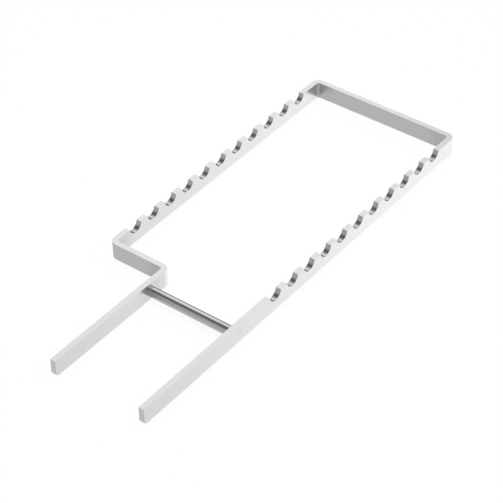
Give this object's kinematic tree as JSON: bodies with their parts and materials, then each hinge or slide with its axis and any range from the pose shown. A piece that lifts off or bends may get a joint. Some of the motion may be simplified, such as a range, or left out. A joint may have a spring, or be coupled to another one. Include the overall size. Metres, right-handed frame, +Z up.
{
  "type": "instrument stringer",
  "caption": "Flat steel bar bent into a long rack with half-round notches along both rails, open arms at one end and a round cross rod, for stringing ring-handled instruments.",
  "frame": {"origin": "middle of the rack's length and width, on the surface that the bar rests on", "axes": "+X towards the straight rail, +Y from the free arm ends to the closed far end, +Z up, the notches' side"},
  "size_m": [0.088, 0.25, 0.0093],
  "materials": {
    "satin_steel": "fine even satin",
    "polished_steel": "polished"
  },
  "bodies": {
    "root": {"notched_frame": "satin_steel", "cross_rod": "polished_steel"}
  },
  "joints": []
}
